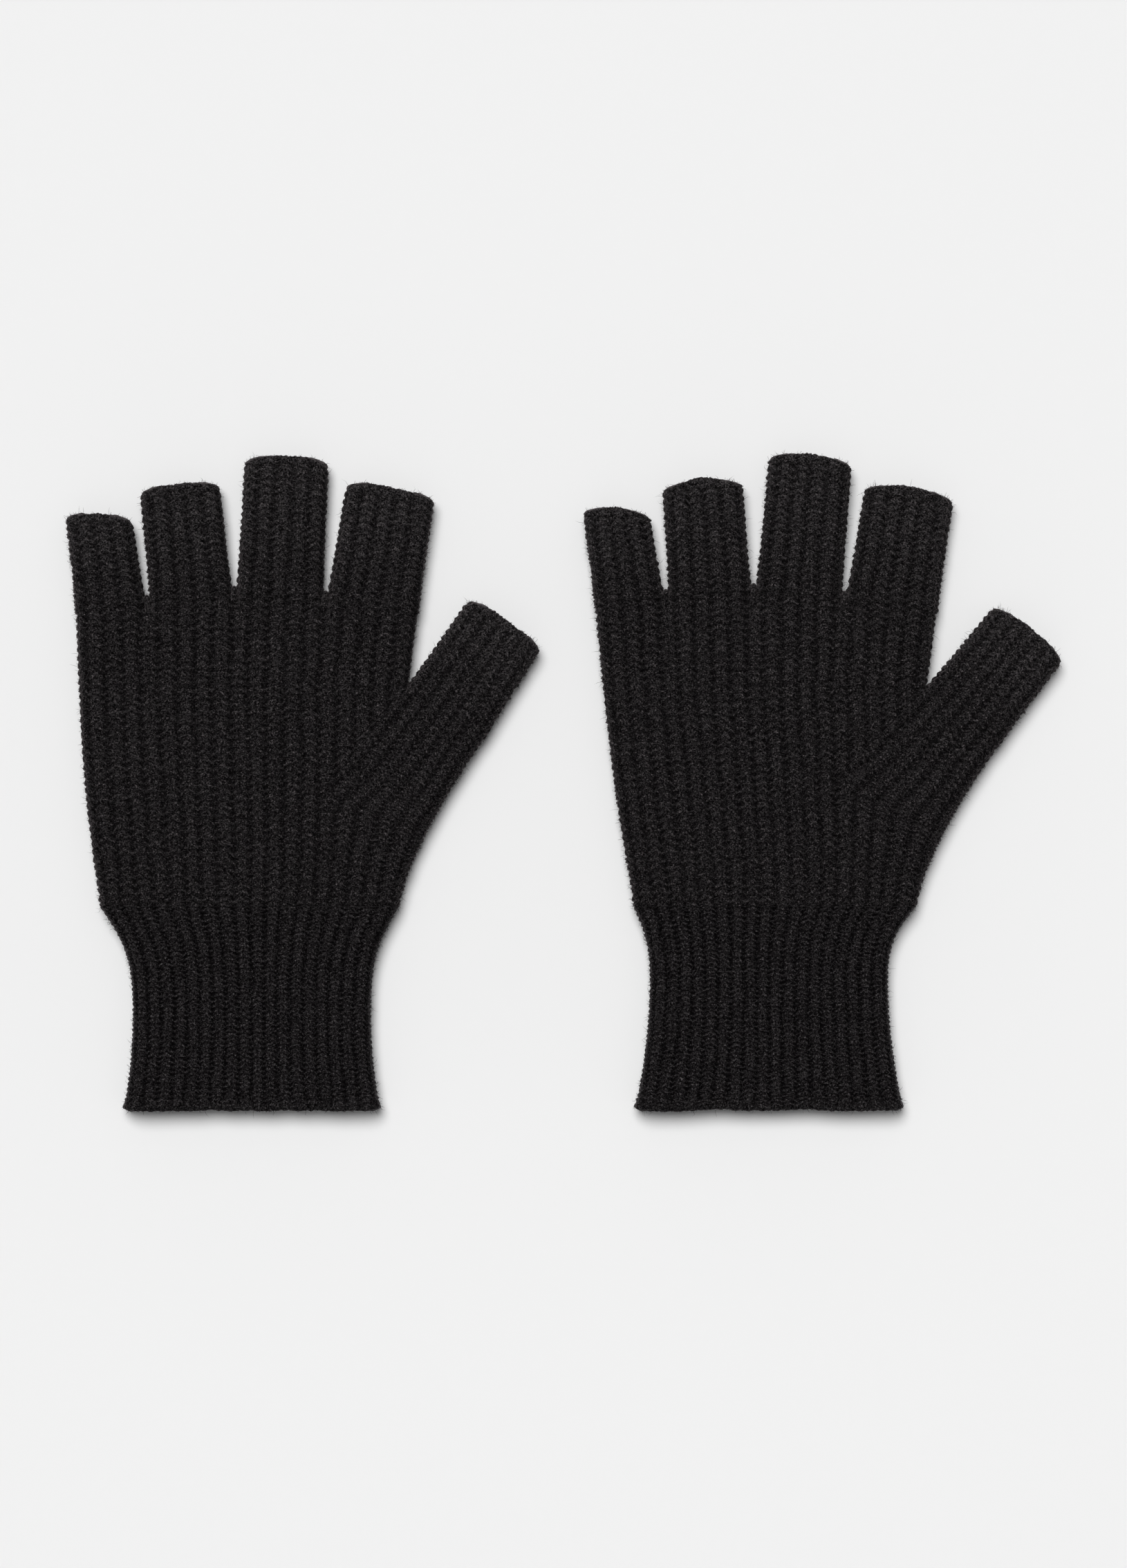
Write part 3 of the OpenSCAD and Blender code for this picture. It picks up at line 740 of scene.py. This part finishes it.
def glove(side):
    hand = f"{side}_hand"
    low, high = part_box(f"{side}_palm")
    wrist = np.array(JOINTS[f"{side}_cuff_fold"]["pos_m"][:2])
    little_side = folds(f"{side}_palm")[0]
    thumb_side = folds(f"{side}_thumb_gusset")[1]
    seam = seam_line(f"{side}_palm")
    knuckle_left, knuckle_right = folds(f"{side}_knuckles")

    # hand ribs: evenly from fold to fold at the wrist, at the hand's own pitch above the apex
    def palm_sag(share, t):
        return np.sin(math.pi * share * mix(0.5, 1.0, smooth(2 * t - 1)))

    def gusset_sag(share, t):
        return palm_sag(1 - share, t) * mix(1.0, 0.0, smooth(4 * t - 3))

    hand_length = seam[-1][1] - seam[0][1]

    def hand_swell(t):
        return wrist_swell(np.asarray(t) * hand_length)

    palm = Tube(swollen(rail(little_side), -ACROSS_PAGE, hand_swell), rail(seam, soft=False),
                low[2], high[2], (True, False), sag=palm_sag)
    gusset = Tube(rail(seam, soft=False), swollen(rail(thumb_side), ACROSS_PAGE, hand_swell),
                  low[2], high[2], (False, True), sag=gusset_sag)
    wrist_spread = palm.spread(0.0) + gusset.spread(0.0)
    wrist_pitch = wrist_spread / CUFF_RIBS

    def pitch(t):
        return mix(wrist_pitch, HAND_RIB[side], 1 - (1 - np.asarray(t)) ** 1.6)

    def palm_ribs(x, t):
        return x / pitch(t)

    def hand_row(p):
        return (np.asarray(p)[..., 1] - wrist[1]) / HAND_ROW

    def palm_rows(points, t, share):
        return hand_row(points)

    apex = seam[len(seam) // 2]
    apex_rib = float(palm_ribs(palm.spread(0.5), 0.5))
    thumb_joint = JOINTS[f"{side}_thumb_fold"]
    thumb_across = np.array(thumb_joint["axis"][:2])
    thumb_along = np.array([-thumb_across[1], thumb_across[0]])

    def gusset_start(t):
        born = mix(apex_rib, CUFF_RIBS - THUMB_RIBS, smooth((t - 0.5) / 0.2))
        return np.where(t < 0.5, palm_ribs(palm.spread(t), t), born)

    def gusset_ribs(x, t):
        first = gusset_start(t)
        return first + (CUFF_RIBS - first) * x / gusset.spread(t)

    def thumb_row(p):
        return hand_row(apex) + (np.asarray(p) - apex) @ thumb_along / FINGER_ROW

    def gusset_rows(points, t, share):
        weight = smooth((t - 0.15) / 0.6) * mix(share, 1.0, smooth((t - 0.5) / 0.12))
        return mix(hand_row(points), thumb_row(points), weight)

    def seam_dip(t, away):
        """The furrow along the gusset's seam, above its apex."""
        return SEAM_DEPTH * smooth((t - 0.48) / 0.06) * np.exp(-(away / (1.1 * MM)) ** 2)

    palm_obj, palm_top, _ = knit_shell(
        f"{side}_palm_knit", palm, palm_ribs, palm_rows, HAND_DEPTH, CELL, HAND_WOOL,
        (WRIST_PAINTED_LIGHT, HAND_PAINTED_LIGHT), groove=lambda w, t, x: seam_dip(t, palm.spread(t) - x))
    gusset_obj, gusset_top, _ = knit_shell(
        f"{side}_thumb_gusset_knit", gusset, gusset_ribs, gusset_rows, HAND_DEPTH, CELL, HAND_WOOL,
        (WRIST_PAINTED_LIGHT, HAND_PAINTED_LIGHT), groove=lambda w, t, x: seam_dip(t, x))

    # the knuckle band, whose far end follows the chain of finger crotches
    roots = [folds(f"{side}_{f}_stall")[0][0] for f in FINGERS]
    ends = [folds(f"{side}_{f}_stall")[1][0] for f in FINGERS]
    crotches = [(ends[k] + roots[k + 1]) / 2 for k in range(len(FINGERS) - 1)]
    for k in range(len(crotches)):
        back = unit(np.array(JOINTS[f"{side}_{FINGERS[k]}_fold"]["axis"][:2]))
        crotches[k] = crotches[k] - KNIT_GAP * np.array([-back[1], back[0]])
    first, last = knuckle_left[-1], knuckle_right[-1]
    chord = last - first
    shares = [0.0] + [float(np.dot(c - first, chord) / np.dot(chord, chord)) for c in crotches] + [1.0]
    rise = [0.0] + [float(c[1] - (first + s * chord)[1]) for c, s in zip(crotches, shares[1:])] + [0.0]

    def bow(share, t):
        up = np.interp(share, shares, rise) * t
        return np.stack([np.zeros_like(up), up], axis=-1)

    knuckles = Tube(rail(knuckle_left), rail(knuckle_right), low[2], high[2], bow=bow,
                    sag=lambda share, t: np.sin(math.pi * share) * (1 - smooth(t)))
    knuckle_ribs = float(knuckles.spread(0.0)) / HAND_RIB[side]
    half_gap = np.linalg.norm(roots[1] - ends[0]) / 2

    def ribs_at(x, t):
        return x / knuckles.spread(t) * knuckle_ribs

    def squeeze(where, t):
        """Closes the two layers together towards each crotch, as the stalls' folds do."""
        share = np.broadcast_to(where[:, 1], t.shape)
        width = np.linalg.norm(chord)
        flat_share = (knuckles.radius + share * (width - 2 * knuckles.radius)) / width
        near = np.min([np.abs(flat_share - s) for s in shares[1:-1]], axis=0) * width - half_gap
        part = np.clip(1 - near / knuckles.radius, 0, 1)
        closing = np.maximum(np.sqrt(np.clip(1 - part * part, 0, 1)), CROTCH_CLOSED)
        closing = np.where(where[:, 0] == 0, closing, 1.0)
        nearness = smooth(1 - (1 - t) * knuckles.length / CROTCH_REACH)
        return mix(1.0, closing, nearness)

    knuckle_obj, knuckle_top, _ = knit_shell(
        f"{side}_knuckles_knit", knuckles, ribs_at, palm_rows, HAND_DEPTH, CELL, HAND_WOOL,
        (HAND_PAINTED_LIGHT, HAND_PAINTED_LIGHT), squeeze=squeeze)

    hand_halo = fibre_halo(f"{side}_hand_fibres", [palm_top, gusset_top, knuckle_top], FIBRE,
                           seed=hash_of(side))
    for piece, nodes in ((palm_obj, ["palm"]), (gusset_obj, ["thumb_gusset"]),
                         (knuckle_obj, ["knuckles"]), (hand_halo, [])):
        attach(piece, hand)
        if nodes:
            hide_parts(*[f"{side}_{n}" for n in nodes])

    # cuff, with its ribs running into the hand's
    cuff_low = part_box(f"{side}_cuff_edge")[0]
    cuff_left, cuff_right = folds(f"{side}_cuff")
    reach = [wrist[1] - line[-1][1] for line in (cuff_left, cuff_right)]
    cuff_length = wrist[1] - cuff_left[0][1]

    def cuff_swell(t):
        return wrist_swell((np.asarray(t) - 1) * cuff_length)

    cuff = Tube(swollen(rail(longer(cuff_left, far=reach[0])), -ACROSS_PAGE, cuff_swell),
                swollen(rail(longer(cuff_right, far=reach[1])), ACROSS_PAGE, cuff_swell),
                low[2], high[2])
    edge_left, edge_right = folds(f"{side}_cuff_edge")
    edge = Tube(rail(edge_left[::-1]), rail(edge_right[::-1]), low[2], high[2])

    def cuff_ribs(tube):
        return lambda x, t: x / tube.spread(t) * CUFF_RIBS

    def cuff_rows(points, t, share):
        return (points[..., 1] - cuff_low[1]) / CUFF_ROW

    cuff_obj, cuff_top, _ = knit_shell(
        f"{side}_cuff_knit", cuff, cuff_ribs(cuff), cuff_rows, CUFF_DEPTH, CUFF_CELL, CUFF_WOOL,
        (WRIST_PAINTED_LIGHT, WRIST_PAINTED_LIGHT))
    band, band_top, _ = knit_lip(f"{side}_cuff_edge_knit", edge, cuff_ribs(edge), cuff_rows,
                                 CUFF_DEPTH, CUFF_CELL, CUFF_WOOL, WRIST_PAINTED_LIGHT, CUFF_CORNER)
    halo = fibre_halo(f"{side}_cuff_fibres", [cuff_top, band_top[:, ::-1]], FIBRE,
                      seed=hash_of(side + "cuff"))
    for piece in (cuff_obj, halo):
        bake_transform(piece)
    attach(band, f"{side}_cuff")
    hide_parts(f"{side}_cuff")
    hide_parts(f"{side}_cuff_edge")

    # stalls carry on the hand's ribs from the knuckles, and the thumb those of the gusset
    end_pitch = float(knuckles.spread(1.0)) / knuckle_ribs
    quarter = knuckles.radius * math.pi / 2

    def finger_rib(p):
        x = float(np.dot(np.asarray(p) - first, unit(chord)))
        return (x - knuckles.radius + quarter) / end_pitch

    for finger in FINGERS:
        stall_part(side, finger, finger_rib, hand_row, 1 / end_pitch)
    thumb_slope = THUMB_RIBS / float(gusset.spread(1.0))
    corner = seam[-1]

    def thumb_rib(p):
        return CUFF_RIBS - THUMB_RIBS + float(np.dot(np.asarray(p) - corner, thumb_across)) * thumb_slope

    stall_part(side, "thumb", thumb_rib, thumb_row, thumb_slope)


def web(side, first, second):
    """Joining stitches between two stalls: a short column of knots."""
    name = f"{side}_{first}_{second}_web"
    low, high = (np.array(v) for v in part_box(name))
    axes = [np.array(JOINTS[f"{side}_{f}_fold"]["axis"][:2]) for f in (first, second)]
    across = unit(axes[0] + axes[1])
    along = np.array([-across[1], across[0]])
    centre = (low + high) / 2
    rings, turns = 28, 20
    t = np.linspace(0, 1, rings + 1)[:, None]
    angle = 2 * math.pi * np.arange(turns)[None, :] / turns
    length = high[1] - low[1]
    knots = 0.72 + 0.28 * np.abs(np.sin(3 * math.pi * t))
    ends = np.sqrt(np.clip(1 - np.abs(2 * t - 1) ** 4, 0.02, 1))
    half_w, half_h = 1.5 * MM, (high[2] - low[2]) / 2
    x = np.cos(angle) * half_w * knots * ends * mix(1.0, 0.75, t)
    z = np.sin(angle) * half_h * ends * (0.85 + 0.15 * knots)
    run = (t - 0.5) * length + 0 * angle
    points = np.stack([centre[0] + across[0] * x + along[0] * run,
                       centre[1] + across[1] * x + along[1] * run,
                       centre[2] + z], axis=-1)
    ids = np.arange((rings + 1) * turns).reshape(rings + 1, turns)
    caps = np.stack([ids[0][::-1], ids[-1]])
    cap_u = np.tile(0.5 + 0.02 * np.cos(angle[0]), (2, 1))
    cap_v = np.stack([0.5 + 0.5 * np.sin(angle[0])] * 2)
    parts = [(*grid_faces(rings + 1, turns, True), (0.004, 0.9), False),
             (caps[:1], cap_u[:1], cap_v[:1], (0.91, 0.95), True),
             (caps[1:], cap_u[1:], cap_v[1:], (0.955, 0.995), True)]
    flat = points.reshape(-1, 3)
    relief = np.broadcast_to(knots, x.shape).ravel()
    yarn = np.stack([np.abs(np.cos(angle)) + 0 * t, 3 * t + 0 * angle, 0 * x], axis=-1).reshape(-1, 3)
    obj = build_mesh(f"{name}_knit", flat, parts, {"relief": relief, "yarn": yarn, "rest": flat,
                                                    "tone": np.full(relief.size, HAND_PAINTED_LIGHT)},
                     HAND_WOOL)
    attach(obj, f"{side}_hand")
    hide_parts(name)


for side in SIDES:
    glove(side)
    for pair in zip(FINGERS[:-1], FINGERS[1:]):
        web(side, *pair)


# ---- floor, lights and camera, in metres ----
STUDIO_RADIUS = 6.0
STUDIO_WALL = 1.3
WALL_SIDES = 64
WALL_GLOW = 0.5
KEY_TOWARD = (0.14, -0.36, -0.92)               # from above, a little from the upper left
KEY_SPREAD = 34                                 # degrees
KEY_STRENGTH = 2.95
SKY_STRENGTH = 0.20
CAMERA_HEIGHT = 1.8
FRAME_HEIGHT = 0.4794                           # height of the picture on the floor
CAMERA_X, CAMERA_Y = -0.4 * MM, -0.75 * MM


def paper(name, glow):
    """Pale matt paper, with a little light of its own where it stands for a lit background."""
    material = bpy.data.materials.new(name)
    material.use_nodes = True
    shader = material.node_tree.nodes["Principled BSDF"]
    shader.inputs["Base Color"].default_value = (0.80, 0.80, 0.80, 1)
    shader.inputs["Roughness"].default_value = 0.9
    shader.inputs["Specular IOR Level"].default_value = 0.1
    shader.inputs["Emission Color"].default_value = (1, 1, 1, 1)
    shader.inputs["Emission Strength"].default_value = glow
    return material


def stage_piece(name, points, faces, material):
    me = bpy.data.meshes.new(name)
    me.from_pydata(points, [], faces)
    me.materials.append(material)
    obj = bpy.data.objects.new(name, me)
    bpy.context.scene.collection.objects.link(obj)


def studio():
    """A round floor with a low pale wall round it, far outside the picture."""
    turns = [2 * math.pi * k / WALL_SIDES for k in range(WALL_SIDES)]
    foot = [(STUDIO_RADIUS * math.cos(a), STUDIO_RADIUS * math.sin(a), 0) for a in turns]
    head = [(x, y, STUDIO_WALL) for x, y, _ in foot]
    sides = [(k, (k + 1) % WALL_SIDES, WALL_SIDES + (k + 1) % WALL_SIDES, WALL_SIDES + k)
             for k in range(WALL_SIDES)]
    stage_piece("floor", foot, [tuple(range(WALL_SIDES))], paper("floor_paper", 0.0))
    stage_piece("backdrop", foot + head, sides, paper("backdrop_paper", WALL_GLOW))


def soft_light(name, toward, spread, strength):
    """Even light from one direction, as from a large far softbox."""
    light = bpy.data.lights.new(name, "SUN")
    light.energy = strength
    light.angle = math.radians(spread)
    obj = bpy.data.objects.new(name, light)
    bpy.context.scene.collection.objects.link(obj)
    obj.rotation_euler = Vector(toward).to_track_quat("-Z", "Y").to_euler()


studio()
soft_light("key", KEY_TOWARD, KEY_SPREAD, KEY_STRENGTH)

world = bpy.data.worlds.new("studio")
world.use_nodes = True
world.node_tree.nodes["Background"].inputs["Color"].default_value = (1, 1, 1, 1)
world.node_tree.nodes["Background"].inputs["Strength"].default_value = SKY_STRENGTH
bpy.context.scene.world = world
bpy.context.scene.view_settings.view_transform = "Standard"

camera_data = bpy.data.cameras.new("camera")
camera = bpy.data.objects.new("camera", camera_data)
bpy.context.scene.collection.objects.link(camera)
camera_data.lens = camera_data.sensor_width * CAMERA_HEIGHT / FRAME_HEIGHT
camera.location = (CAMERA_X, CAMERA_Y, CAMERA_HEIGHT)
bpy.context.scene.camera = camera
